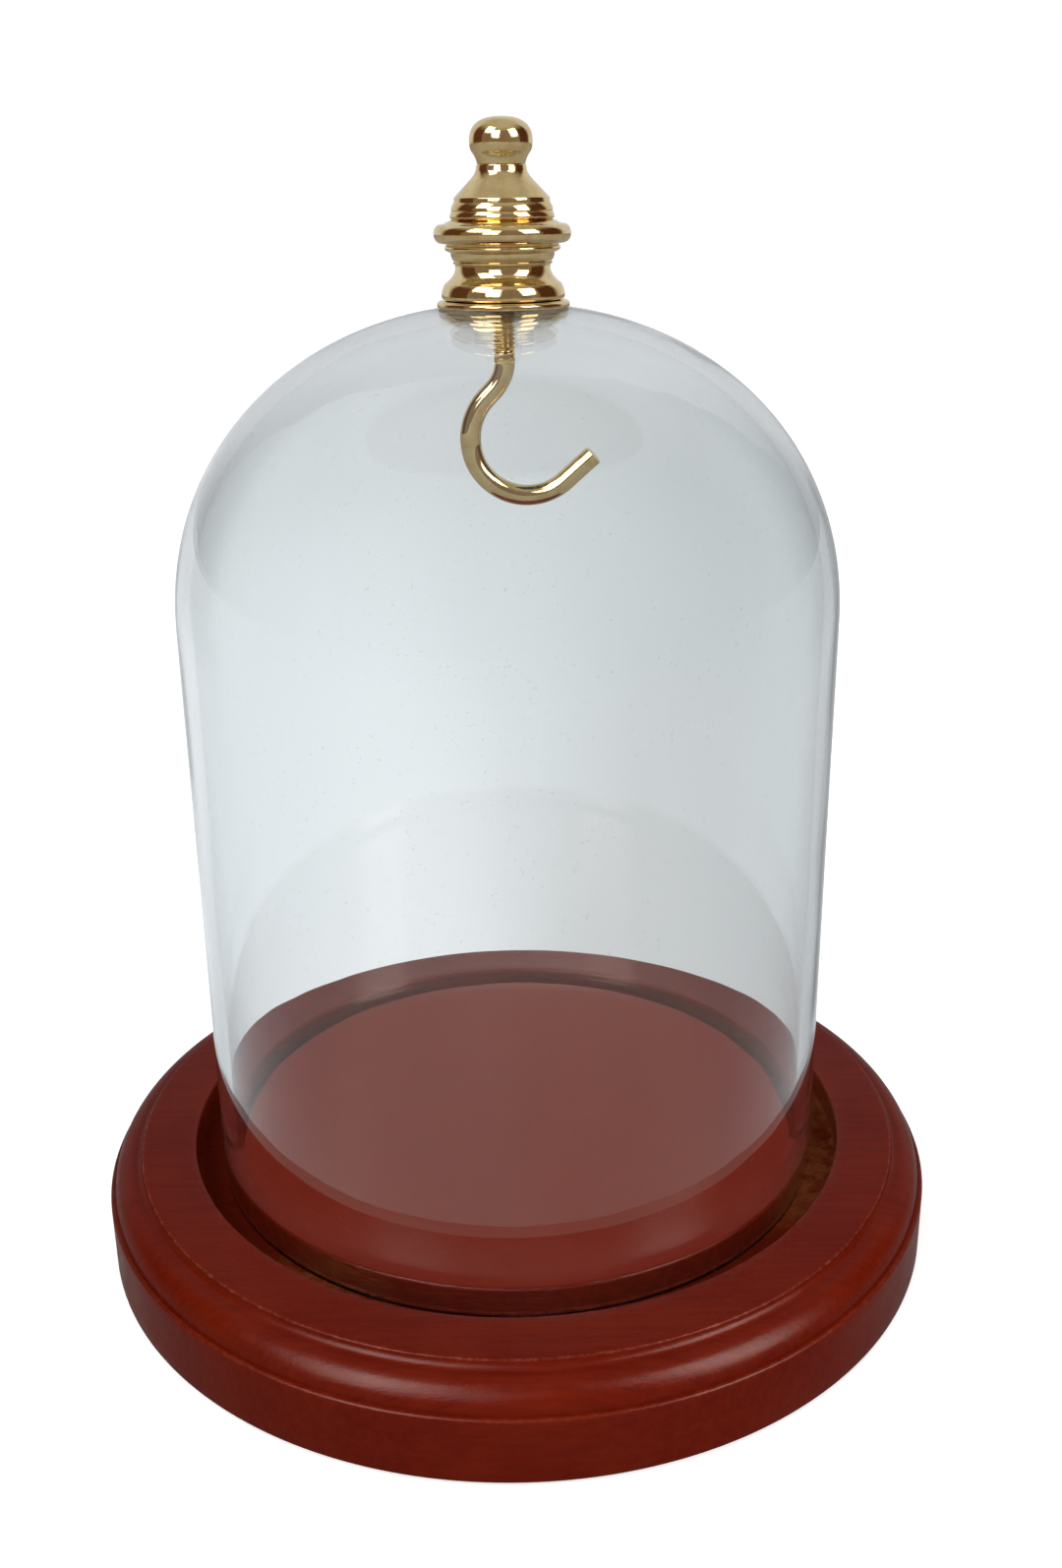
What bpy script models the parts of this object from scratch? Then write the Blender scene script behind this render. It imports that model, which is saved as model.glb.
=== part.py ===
"""A glass display dome on a turned wooden base.

The origin is the centre of the underside, and +Z is up. The hook inside the
dome lies in the XZ plane and opens towards +X. Lengths are in metres, and the
dimensions below are in millimetres, which mm() converts.
"""

import math

import bpy


def mm(value):
    return value / 1000


# Gaps that stand for touching faces.
GAP = 0.3
THIN_GAP = 0.05

# Felt pad.
FELT_RADIUS = 50.5
FELT_THICKNESS = 0.5

# Wooden base.
WOOD_BOTTOM = FELT_THICKNESS + 0.1
WOOD_THICKNESS = 12.4
WOOD_TOP = WOOD_BOTTOM + WOOD_THICKNESS
BASE_RADIUS = 52.4
RING_RADIUS = 48.2
GROOVE_OUTER = 41.45
GROOVE_INNER = 35.9
GROOVE_DEPTH = 3.4
GROOVE_FLOOR = WOOD_TOP - GROOVE_DEPTH
BASE_STEPS = 64

# Glass dome: a 3 inch cylinder under a rounded top.
GLASS_RADIUS = 38.1
GLASS_WALL = 1.8
RIM_BOTTOM = GROOVE_FLOOR + 0.1
SHOULDER = 80.2
CROWN_HEIGHT = 34.6
CROWN_POWER = 2.12
HOLE_RADIUS = 2.0
CROWN_POINTS = 17
GLASS_STEPS = 64

# Washers, nut and knob at the top.
GASKET_RADIUS = 7.5
GASKET_THICKNESS = 0.2
SEAT_RADIUS = 7.25
SEAT_TOP = 115.25
INNER_GASKET_RADIUS = 4.2
INNER_GASKET_THICKNESS = 0.5
NUT_FLAT_RADIUS = 2.75
NUT_HEIGHT = 2.0
KNOB_BOTTOM = SEAT_TOP + THIN_GAP
KNOB_TOP = 133.75
KNOB_STEPS = 40
BORE_TOP = 122.0

# Hook, bent from wire, with a threaded straight top.
WIRE_RADIUS = 1.15
THREAD_RADIUS = 1.25
THREAD_CLEARANCE = 0.1
THREAD_BOTTOM = 109.2
HOOK_TOP = 121.5
NECK_BEND_RADIUS = 4.2
HOOK_RADIUS = 6.4
HOOK_CENTRE_X = 2.45
HOOK_CENTRE_Z = 100.25
HOOK_LEAN = math.radians(45)
TIP_LEAN = math.radians(42)
TIP_LENGTH = 4.3
WIRE_SIDES_RESOLUTION = 3


def clear_scene():
    for obj in list(bpy.data.objects):
        bpy.data.objects.remove(obj)


def new_collection(name):
    collection = bpy.data.collections.new(name)
    bpy.context.scene.collection.children.link(collection)
    return collection


def material(name, colour, roughness, metallic=0.0, transmission=0.0):
    made = bpy.data.materials.new(name)
    made.use_nodes = True
    shader = made.node_tree.nodes["Principled BSDF"]
    shader.inputs["Base Color"].default_value = (*colour, 1)
    shader.inputs["Roughness"].default_value = roughness
    shader.inputs["Metallic"].default_value = metallic
    shader.inputs["Transmission Weight"].default_value = transmission
    return made


def arc(centre_r, centre_z, radius, start, end, points):
    """Points on an arc, with angles in degrees from +R towards +Z."""
    turned = []
    for i in range(points):
        angle = math.radians(start + (end - start) * i / (points - 1))
        turned.append(
            (centre_r + radius * math.cos(angle), centre_z + radius * math.sin(angle))
        )
    return turned


def crown(radius, shoulder, height, hole, points):
    """A superellipse from the shoulder up to a hole on the axis, bottom to top."""
    last = math.acos((hole / radius) ** (CROWN_POWER / 2))
    outline = []
    for i in range(points):
        turn = last * i / (points - 1)
        r = radius * math.cos(turn) ** (2 / CROWN_POWER)
        z = shoulder + height * math.sin(turn) ** (2 / CROWN_POWER)
        outline.append((r, z))
    return outline


def glass_top(r):
    """Height of the dome's outer surface at this radius."""
    return SHOULDER + CROWN_HEIGHT * (1 - (r / GLASS_RADIUS) ** CROWN_POWER) ** (
        1 / CROWN_POWER
    )


def turned(name, outline, steps, look, collection):
    """A closed body turned about Z from an outline that runs down its outer side."""
    mesh = bpy.data.meshes.new(name)
    points = [(mm(r), 0, mm(z)) for r, z in outline]
    on_axis = outline[0][0] == 0 and outline[-1][0] == 0
    edges = [(i, i + 1) for i in range(len(points) - 1)]
    if not on_axis:
        edges.append((len(points) - 1, 0))
    mesh.from_pydata(points, edges, [])
    obj = bpy.data.objects.new(name, mesh)
    collection.objects.link(obj)
    screw = obj.modifiers.new("Turn", "SCREW")
    screw.steps = steps
    screw.render_steps = steps
    screw.use_merge_vertices = True
    screw.merge_threshold = 0.00001
    screw.use_smooth_shade = True
    mesh.materials.append(look)
    return obj


def base_outline():
    """The base from the centre of its top, out over the groove and edge, to the underside."""
    cove_depth = 1.05
    cove_out = 0.8
    bead_inner = RING_RADIUS + cove_out
    bead_outer = 51.8
    bead_top = WOOD_TOP - cove_depth
    ledge_height = WOOD_TOP - 4.2
    ledge_outer = BASE_RADIUS - 0.35
    round_radius = 0.35
    foot_chamfer = 0.3
    outline = [(0, WOOD_TOP), (GROOVE_INNER - 0.2, WOOD_TOP)]
    outline.append((GROOVE_INNER, WOOD_TOP - 0.2))
    outline.append((GROOVE_INNER, GROOVE_FLOOR))
    outline.append((GROOVE_OUTER, GROOVE_FLOOR))
    outline.append((GROOVE_OUTER, WOOD_TOP - 0.15))
    outline.append((GROOVE_OUTER + 0.15, WOOD_TOP))
    outline.append((RING_RADIUS - 0.15, WOOD_TOP))
    # Small cove under the ring's outer edge.
    for i in range(4):
        angle = math.radians(90 * i / 3)
        outline.append(
            (
                RING_RADIUS + cove_out * (1 - math.cos(angle)),
                WOOD_TOP - 0.1 - (cove_depth - 0.1) * math.sin(angle),
            )
        )
    # Rounded step below it.
    for i in range(1, 7):
        angle = math.radians(90 * i / 6)
        outline.append(
            (
                bead_inner + (bead_outer - bead_inner) * math.sin(angle),
                ledge_height + (bead_top - ledge_height) * math.cos(angle),
            )
        )
    outline += arc(ledge_outer, ledge_height - round_radius, round_radius, 90, 0, 4)
    outline.append((BASE_RADIUS, WOOD_BOTTOM + foot_chamfer))
    outline.append((BASE_RADIUS - foot_chamfer, WOOD_BOTTOM))
    outline.append((0, WOOD_BOTTOM))
    return outline


def felt_outline():
    return [
        (0, FELT_THICKNESS),
        (FELT_RADIUS, FELT_THICKNESS),
        (FELT_RADIUS, 0),
        (0, 0),
    ]


def glass_outline():
    """The outer surface down to the rim, then the inner surface back up to the hole."""
    rim_round = 0.5
    outer = crown(
        GLASS_RADIUS, SHOULDER, CROWN_HEIGHT, HOLE_RADIUS, CROWN_POINTS
    )
    inner = crown(
        GLASS_RADIUS - GLASS_WALL,
        SHOULDER,
        CROWN_HEIGHT - GLASS_WALL,
        HOLE_RADIUS,
        CROWN_POINTS,
    )
    rim = [
        (GLASS_RADIUS, RIM_BOTTOM + rim_round),
        (GLASS_RADIUS - rim_round, RIM_BOTTOM),
        (GLASS_RADIUS - GLASS_WALL + rim_round, RIM_BOTTOM),
        (GLASS_RADIUS - GLASS_WALL, RIM_BOTTOM + rim_round),
    ]
    return outer[::-1] + rim + inner


def dished(inner, outer, lift, points=4):
    """Points that follow the top of the glass at a distance above it, outer to inner."""
    radii = [outer + (inner - outer) * i / (points - 1) for i in range(points)]
    return [(r, glass_top(r) + lift) for r in radii]


def outer_gasket_outline():
    lower = THIN_GAP
    upper = THIN_GAP + GASKET_THICKNESS
    top = dished(HOLE_RADIUS, GASKET_RADIUS, upper)[::-1]
    return top + dished(HOLE_RADIUS, GASKET_RADIUS, lower)


def seat_washer_outline():
    bore = THREAD_RADIUS + THREAD_CLEARANCE
    underside = dished(bore, SEAT_RADIUS, GASKET_THICKNESS + 2 * THIN_GAP)
    return [
        (bore, SEAT_TOP),
        (SEAT_RADIUS - 0.15, SEAT_TOP),
        (SEAT_RADIUS, SEAT_TOP - 0.15),
        *underside,
    ]


def flattened_ball(radius, middle, height, power, points):
    """The upper half of a ball with a slightly flat top, from the axis outwards."""
    outline = []
    for i in range(points):
        turn = math.radians(90 * (1 - i / (points - 1)))
        r = radius * math.cos(turn) ** (2 / power) if i else 0
        outline.append((r, middle + height * math.sin(turn) ** (2 / power)))
    return outline


def knob_outline():
    """The knob from its top down its outer side, then up its blind bore."""
    ball_middle = 131.25
    ball_power = 2.3
    bore = THREAD_RADIUS + THREAD_CLEARANCE
    ball = flattened_ball(3.38, ball_middle, KNOB_TOP - ball_middle, ball_power, 8)
    ball_underside = [(3.3, 130.7), (2.85, 130.05)]
    small_bead = arc(2.25, 129.45, 0.6, 55, -60, 4)
    neck = [(2.5, 128.75), (2.5, 128.3)]
    bell = [(2.78, 127.75), (3.3, 127.15), (3.94, 126.62), (4.5, 126.1), (4.9, 125.6)]
    upper_bead = arc(4.65, 124.7, 0.72, 70, -50, 5)
    lower_bead = [(5.32, 123.95), (5.12, 123.6)]
    disc = arc(6.47, 122.05, 0.95, 110, -75, 8)
    ring_under_disc = [(6.25, 120.95), (6.0, 120.2), (5.55, 120.0), (5.5, 119.25)]
    waist = [(5.3, 119.0), (5.2, 118.2), (5.35, 117.55), (5.8, 117.0)]
    lower_round = arc(6.1, 116.0, 0.72, 80, -75, 6)
    foot_and_bore = [(bore, KNOB_BOTTOM), (bore, BORE_TOP - 0.5), (0, BORE_TOP)]
    return [
        *ball,
        *ball_underside,
        *small_bead,
        *neck,
        *bell,
        *upper_bead,
        *lower_bead,
        *disc,
        *ring_under_disc,
        *waist,
        *lower_round,
        *foot_and_bore,
    ]


def inner_gasket_outline():
    bore = THREAD_RADIUS + THREAD_CLEARANCE
    top = glass_top(0) - GLASS_WALL - GAP
    return [
        (bore, top),
        (INNER_GASKET_RADIUS, top),
        (INNER_GASKET_RADIUS, top - INNER_GASKET_THICKNESS),
        (bore, top - INNER_GASKET_THICKNESS),
    ]


def clamp_nut(look, collection):
    """A hexagonal nut below the inner gasket, before its bore is drilled."""
    corner = NUT_FLAT_RADIUS / math.cos(math.radians(30))
    top = glass_top(0) - GLASS_WALL - GAP - INNER_GASKET_THICKNESS - THIN_GAP
    bpy.ops.mesh.primitive_cylinder_add(
        vertices=6, radius=mm(corner), depth=mm(NUT_HEIGHT)
    )
    nut = bpy.context.object
    nut.name = "clamp_nut"
    nut.location.z = mm(top - NUT_HEIGHT / 2)
    nut.data.materials.append(look)
    move_to(nut, collection)
    return nut


def move_to(obj, collection):
    for held in list(obj.users_collection):
        held.objects.unlink(obj)
    collection.objects.link(obj)


def drill(obj, radius, cutters):
    """Cuts a round hole along Z through the object."""
    bpy.ops.mesh.primitive_cylinder_add(
        vertices=32, radius=mm(radius), depth=mm(4 * NUT_HEIGHT), location=obj.location
    )
    cutter = bpy.context.object
    cutter.name = obj.name + "_bore"
    cutter.hide_render = True
    cutter.display_type = "WIRE"
    move_to(cutter, cutters)
    hole = obj.modifiers.new("Bore", "BOOLEAN")
    hole.operation = "DIFFERENCE"
    hole.object = cutter


def hook_path():
    """The wire's centre line in (x, z), from the top of the shank to the cut tip."""
    lean_x = math.sin(HOOK_LEAN)
    lean_z = math.cos(HOOK_LEAN)
    # The big bend starts at the upper left, where the wire leans by HOOK_LEAN.
    start_x = HOOK_CENTRE_X - HOOK_RADIUS * lean_z
    start_z = HOOK_CENTRE_Z + HOOK_RADIUS * lean_x
    bend_x = NECK_BEND_RADIUS * (1 - lean_z)
    bend_z = NECK_BEND_RADIUS * lean_x
    straight = (-start_x - bend_x) / lean_x
    neck_z = start_z + straight * lean_z + bend_z
    thread_runout = 0.2
    points = [
        (0, HOOK_TOP),
        (0, THREAD_BOTTOM + thread_runout),
        (0, THREAD_BOTTOM),
    ]
    steps = 8
    for i in range(steps + 1):
        angle = HOOK_LEAN * i / steps
        points.append(
            (
                -NECK_BEND_RADIUS * (1 - math.cos(angle)),
                neck_z - NECK_BEND_RADIUS * math.sin(angle),
            )
        )
    steps = 24
    sweep = math.pi / 2 + HOOK_LEAN + TIP_LEAN
    for i in range(steps + 1):
        angle = math.pi - HOOK_LEAN + sweep * i / steps
        points.append(
            (
                HOOK_CENTRE_X + HOOK_RADIUS * math.cos(angle),
                HOOK_CENTRE_Z + HOOK_RADIUS * math.sin(angle),
            )
        )
    last_x, last_z = points[-1]
    points.append(
        (
            last_x + TIP_LENGTH * math.cos(TIP_LEAN),
            last_z + TIP_LENGTH * math.sin(TIP_LEAN),
        )
    )
    return points


def hook(look, collection):
    """A wire that is thicker along its thread, as a curve with a round section."""
    points = hook_path()
    curve = bpy.data.curves.new("hook", "CURVE")
    curve.dimensions = "3D"
    curve.bevel_depth = mm(WIRE_RADIUS)
    curve.bevel_resolution = WIRE_SIDES_RESOLUTION
    curve.use_fill_caps = True
    spline = curve.splines.new("POLY")
    spline.points.add(len(points) - 1)
    for point, (x, z) in zip(spline.points, points):
        point.co = (mm(x), 0, mm(z), 1)
        point.radius = THREAD_RADIUS / WIRE_RADIUS if z > THREAD_BOTTOM else 1
    curve.materials.append(look)
    obj = bpy.data.objects.new("hook", curve)
    collection.objects.link(obj)
    return obj


def main():
    clear_scene()
    parts = new_collection("bell_jar_dome")
    cutters = new_collection("cutters")

    wood = material("stained_wood", (0.17, 0.022, 0.009), 0.35)
    glass = material("clear_glass", (1, 1, 1), 0.0, transmission=1.0)
    brass = material("polished_brass", (0.83, 0.62, 0.27), 0.12, metallic=1.0)
    plastic = material("clear_plastic", (0.93, 0.94, 0.93), 0.15, transmission=0.9)
    felt = material("green_felt", (0.015, 0.05, 0.028), 0.95)

    base = turned("base_turning", base_outline(), BASE_STEPS, wood, parts)
    pad = turned("felt_pad", felt_outline(), BASE_STEPS, felt, parts)
    dome = turned("glass_dome", glass_outline(), GLASS_STEPS, glass, parts)
    outer_gasket = turned(
        "outer_gasket", outer_gasket_outline(), KNOB_STEPS, plastic, parts
    )
    inner_gasket = turned(
        "inner_gasket", inner_gasket_outline(), KNOB_STEPS, plastic, parts
    )
    knob = turned("finial_knob", knob_outline(), KNOB_STEPS, brass, parts)
    seat = turned("seat_washer", seat_washer_outline(), KNOB_STEPS, brass, parts)
    nut = clamp_nut(plastic, parts)
    drill(nut, THREAD_RADIUS + THREAD_CLEARANCE, cutters)
    wire = hook(brass, parts)

    pad.parent = base
    outer_gasket.parent = dome
    inner_gasket.parent = dome
    for carried in (seat, nut, wire):
        carried.parent = knob


main()
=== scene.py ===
"""The looks of the glass display dome on its turned wooden base.

Every piece is turned or swept here at full resolution, in millimetres in the
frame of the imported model, and takes the place of the plain CAD solid that it
stands for. mm() converts to metres.
"""

import math

import bmesh
import bpy
from mathutils import Matrix, Vector, noise


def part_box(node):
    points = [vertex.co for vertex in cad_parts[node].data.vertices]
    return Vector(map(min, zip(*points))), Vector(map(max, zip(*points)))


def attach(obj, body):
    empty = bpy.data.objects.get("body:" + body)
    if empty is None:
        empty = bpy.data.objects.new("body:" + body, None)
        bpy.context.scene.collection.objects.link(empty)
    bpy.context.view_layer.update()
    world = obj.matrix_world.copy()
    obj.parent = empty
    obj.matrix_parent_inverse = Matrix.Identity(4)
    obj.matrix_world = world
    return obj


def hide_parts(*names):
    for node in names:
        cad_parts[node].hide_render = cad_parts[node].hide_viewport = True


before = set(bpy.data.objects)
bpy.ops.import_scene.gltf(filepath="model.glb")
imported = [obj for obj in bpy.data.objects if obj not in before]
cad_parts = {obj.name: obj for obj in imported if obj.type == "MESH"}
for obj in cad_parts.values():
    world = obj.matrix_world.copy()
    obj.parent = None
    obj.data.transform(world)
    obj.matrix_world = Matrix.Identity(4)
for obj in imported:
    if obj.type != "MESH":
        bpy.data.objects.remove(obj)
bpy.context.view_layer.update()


def mm(value):
    return value / 1000


def node_box(node):
    """Lowest and highest corner of a CAD node, in millimetres."""
    low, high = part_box(node)
    return low * 1000, high * 1000


# Driving sizes, read from the frame.
base_low, base_high = node_box("base_turning")
BASE_RADIUS = base_high.x
WOOD_BOTTOM = base_low.z
WOOD_TOP = base_high.z
glass_low, glass_high = node_box("glass_dome")
GLASS_RADIUS = glass_high.x
RIM_BOTTOM = glass_low.z
_, felt_high = node_box("felt_pad")
FELT_RADIUS = felt_high.x
FELT_TOP = felt_high.z
knob_low, knob_high = node_box("finial_knob")
KNOB_TOP = knob_high.z
KNOB_BOTTOM = knob_low.z
_, seat_high = node_box("seat_washer")
SEAT_RADIUS = seat_high.x
SEAT_TOP = seat_high.z
nut_low, nut_high = node_box("clamp_nut")
gasket_low, gasket_high = node_box("inner_gasket")
_, outer_gasket_high = node_box("outer_gasket")
_, hook_high = node_box("hook")

# Sizes that part.py shares with this script.
RING_RADIUS = 48.2
GROOVE_OUTER = 41.45
GROOVE_INNER = 35.9
GROOVE_DEPTH = 3.4
GLASS_WALL = 1.8
SHOULDER = 80.2
CROWN_HEIGHT = 34.6
CROWN_POWER = 2.12
HOLE_RADIUS = 2.0
THIN_GAP = 0.05
GASKET_THICKNESS = 0.2
WIRE_RADIUS = 1.15
THREAD_RADIUS = 1.25
THREAD_CLEARANCE = 0.1
THREAD_BOTTOM = 109.2
BORE_RADIUS = THREAD_RADIUS + THREAD_CLEARANCE
BORE_TOP = 122.0
NECK_BEND_RADIUS = 4.2
HOOK_RADIUS = 6.4
HOOK_CENTRE_X = 2.45
HOOK_CENTRE_Z = 100.25
HOOK_LEAN = math.radians(45)
TIP_LEAN = math.radians(42)
TIP_LENGTH = 4.3

# Details that only this script models: the cut thread, and the tip's chamfered end.
THREAD_PITCH = 0.45
TIP_END = 0.3


# Camera ------------------------------------------------------------------

CAMERA_DISTANCE = 183.28
CAMERA_HEIGHT = 128.03
CAMERA_PITCH = math.radians(20.75)
CAMERA_YAW = math.radians(0.75)
CAMERA_ROLL = math.radians(0.67)
CAMERA_LENS = 36.98


def add_camera():
    """A camera in front of the object, looking down at it."""
    data = bpy.data.cameras.new("camera")
    data.lens = CAMERA_LENS
    data.sensor_width = 36
    data.clip_start = 0.01
    camera = bpy.data.objects.new("camera", data)
    bpy.context.scene.collection.objects.link(camera)
    turn = Matrix.Rotation(-CAMERA_YAW, 4, "Z")
    tilt = Matrix.Rotation(math.pi / 2 - CAMERA_PITCH, 4, "X")
    roll = Matrix.Rotation(-CAMERA_ROLL, 4, "Z")
    place = Matrix.Translation((0, mm(-CAMERA_DISTANCE), mm(CAMERA_HEIGHT)))
    camera.matrix_world = place @ turn @ tilt @ roll
    bpy.context.scene.camera = camera


# Node helpers --------------------------------------------------------------


class Nodes:
    """Short calls for building a node tree."""

    def __init__(self, tree):
        self.tree = tree
        tree.nodes.clear()

    def add(self, kind, **settings):
        node = self.tree.nodes.new("ShaderNode" + kind)
        for name, value in settings.items():
            setattr(node, name, value)
        return node

    def put(self, socket, value):
        if isinstance(value, bpy.types.NodeSocket):
            self.tree.links.new(value, socket)
        elif isinstance(value, tuple) and len(value) == 3 and socket.type == "RGBA":
            socket.default_value = (*value, 1)
        else:
            socket.default_value = value

    def math(self, operation, a, b=0.0, clamp=False):
        node = self.add("Math", operation=operation, use_clamp=clamp)
        self.put(node.inputs[0], a)
        self.put(node.inputs[1], b)
        return node.outputs[0]

    def ramp(self, value, low, high, to_low=0.0, to_high=1.0):
        """A smooth step of the value from one level to another."""
        node = self.add("MapRange", interpolation_type="SMOOTHSTEP")
        for name, number in (
            ("From Min", low),
            ("From Max", high),
            ("To Min", to_low),
            ("To Max", to_high),
        ):
            node.inputs[name].default_value = number
        self.put(node.inputs["Value"], value)
        return node.outputs["Result"]

    def band(self, value, centre, half_width, fade):
        """1 where the value is within half_width of the centre."""
        off = self.math("ABSOLUTE", self.math("SUBTRACT", value, centre))
        return self.ramp(off, half_width, half_width + fade, 1.0, 0.0)

    def noise(self, vector, scale, detail=3.0, roughness=0.5, distortion=0.0):
        node = self.add("TexNoise")
        self.put(node.inputs["Vector"], vector)
        node.inputs["Scale"].default_value = scale
        node.inputs["Detail"].default_value = detail
        node.inputs["Roughness"].default_value = roughness
        node.inputs["Distortion"].default_value = distortion
        return node.outputs["Fac"]

    def mix(self, factor, a, b, blend="MIX"):
        node = self.add("Mix", data_type="RGBA", blend_type=blend)
        self.put(node.inputs["Factor"], factor)
        self.put(node.inputs["A"], a)
        self.put(node.inputs["B"], b)
        return node.outputs["Result"]

    def stretch(self, vector, x, y, z):
        node = self.add("Mapping")
        self.put(node.inputs["Vector"], vector)
        node.inputs["Scale"].default_value = (x, y, z)
        return node.outputs["Vector"]

    def bump(self, height, distance, strength=1.0, normal=None):
        node = self.add("Bump")
        node.inputs["Strength"].default_value = strength
        node.inputs["Distance"].default_value = distance
        self.put(node.inputs["Height"], height)
        if normal is not None:
            self.put(node.inputs["Normal"], normal)
        return node.outputs["Normal"]


def new_material(name):
    """A material with a Principled shader, and the helper for its tree."""
    made = bpy.data.materials.new(name)
    made.use_nodes = True
    nodes = Nodes(made.node_tree)
    shader = nodes.add("BsdfPrincipled")
    output = nodes.add("OutputMaterial")
    nodes.put(output.inputs["Surface"], shader.outputs[0])
    return made, nodes, shader, output


def object_place(nodes):
    """Object coordinates, the radius from the axis and the height, in millimetres."""
    place = nodes.add("TexCoord").outputs["Object"]
    scaled = nodes.add("VectorMath", operation="SCALE")
    nodes.put(scaled.inputs[0], place)
    scaled.inputs["Scale"].default_value = 1000
    split = nodes.add("SeparateXYZ")
    nodes.put(split.inputs[0], scaled.outputs["Vector"])
    x, y, z = split.outputs
    squares = nodes.math("ADD", nodes.math("MULTIPLY", x, x), nodes.math("MULTIPLY", y, y))
    radius = nodes.math("SQRT", squares)
    return scaled.outputs["Vector"], x, y, z, radius


# Materials -----------------------------------------------------------------


def wood_material():
    """Red-brown stained wood under a thin satin lacquer, with wear and painted highlights along its
    edges and painted shade in its groove.
    """
    made, nodes, shader, _ = new_material("stained_wood")
    place, x, y, z, radius = object_place(nodes)
    grain = nodes.noise(nodes.stretch(place, 0.12, 2.2, 0.9), 1.0, 6, 0.6, 0.3)
    pores = nodes.noise(nodes.stretch(place, 0.5, 6.0, 3.0), 1.0, 4, 0.65)
    clouds = nodes.noise(place, 0.09, 3, 0.5)
    speckle = nodes.noise(place, 3.2, 4, 0.7)
    dark = (0.031, 0.0017, 0.0003)
    light = (0.043, 0.0030, 0.0006)
    cloudy = (0.051, 0.0052, 0.0011)
    pore = (0.023, 0.0012, 0.00025)
    fleck = (0.095, 0.026, 0.013)
    redder = (0.078, 0.0076, 0.0026)
    stain = nodes.mix(nodes.ramp(grain, 0.25, 0.75), dark, light)
    stain = nodes.mix(nodes.ramp(clouds, 0.35, 0.70, 0.0, 0.35), stain, cloudy)
    stain = nodes.mix(nodes.ramp(pores, 0.30, 0.42, 0.14, 0.0), stain, pore)
    stain = nodes.mix(nodes.ramp(speckle, 0.60, 0.76, 0.0, 0.10), stain, fleck)
    under_glass = nodes.ramp(radius, GROOVE_INNER, GROOVE_INNER - 0.6)
    stain = nodes.mix(nodes.math("MULTIPLY", under_glass, 0.5), stain, redder)

    # Lighter along the ring's edge, as rubbed-thin finish and a painted highlight, and along the
    # arris under the bead, as a painted highlight.
    worn_wood_and_highlight = (0.105, 0.030, 0.018)
    ragged = nodes.noise(place, 1.3, 5, 0.7)
    ring_edge = nodes.math(
        "MULTIPLY",
        nodes.band(radius, RING_RADIUS - 0.05, 0.10, 0.16),
        nodes.ramp(z, WOOD_TOP - 0.35, WOOD_TOP - 0.1),
    )
    ledge_highlight = nodes.math(
        "MULTIPLY",
        nodes.ramp(radius, LEDGE_RADIUS - 0.25, LEDGE_RADIUS + 0.1),
        nodes.band(z, LEDGE_HEIGHT - 0.12, 0.10, 0.22),
    )
    edges = nodes.math("MAXIMUM", ring_edge, nodes.math("MULTIPLY", ledge_highlight, 0.35))
    wear_and_highlight = nodes.math("MULTIPLY", edges, nodes.ramp(ragged, 0.42, 0.68, 0.0, 0.45))
    stain = nodes.mix(wear_and_highlight, stain, worn_wood_and_highlight)

    # Painted shade darkens the groove. The cutter left it rough, and the stain is thin on its
    # fibres.
    groove_painted_shade = (0.030, 0.0034, 0.0009)
    bare_wood = (0.064, 0.019, 0.006)
    groove = nodes.math(
        "MULTIPLY",
        nodes.band(radius, (GROOVE_INNER + GROOVE_OUTER) / 2, GROOVE_WIDTH / 2 - 0.1, 0.3),
        nodes.ramp(z, WOOD_TOP - 0.05, WOOD_TOP - 0.5),
    )
    fibres = nodes.noise(nodes.stretch(place, 0.5, 0.5, 3.2), 1.0, 6, 0.75, 0.6)
    bare_side = nodes.noise(nodes.stretch(place, 0.035, 0.035, 0.0), 1.0, 1, 0.3)
    right = nodes.math("MULTIPLY", nodes.ramp(x, 22.0, 34.0), nodes.ramp(y, -26.0, -16.0))
    left_front = nodes.math("MULTIPLY", nodes.ramp(x, -12.0, -18.0), nodes.ramp(y, -24.0, -30.0))
    raw = nodes.math("MAXIMUM", right, left_front)
    raw = nodes.math("MULTIPLY", raw, nodes.ramp(bare_side, 0.30, 0.55, 0.55, 1.0))
    bare = nodes.math("MULTIPLY", raw, nodes.ramp(fibres, 0.36, 0.62))
    # Painted shade over the groove, then bare wood on its fibres.
    stain = nodes.mix(nodes.math("MULTIPLY", groove, 0.35), stain, groove_painted_shade)
    stain = nodes.mix(nodes.math("MULTIPLY", groove, bare), stain, bare_wood)
    nodes.put(shader.inputs["Base Color"], stain)

    # Gloss: smoother under the glass, where no hand reaches, and dull in the groove.
    gloss = nodes.noise(place, 0.35, 4, 0.6)
    rough = nodes.ramp(gloss, 0.3, 0.7, 0.17, 0.26)
    rough = nodes.math("SUBTRACT", rough, nodes.math("MULTIPLY", under_glass, 0.12))
    rough = nodes.math("ADD", rough, nodes.math("MULTIPLY", groove, 0.4))
    nodes.put(shader.inputs["Roughness"], rough)
    facing = nodes.add("LayerWeight")
    facing.inputs["Blend"].default_value = 0.5
    level = nodes.ramp(facing.outputs["Facing"], 0.18, 0.42, 0.085, 0.04)
    unlacquered = nodes.math("SUBTRACT", 1.0, nodes.math("MULTIPLY", groove, 0.85))
    nodes.put(shader.inputs["Specular IOR Level"], nodes.math("MULTIPLY", level, unlacquered))

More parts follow.
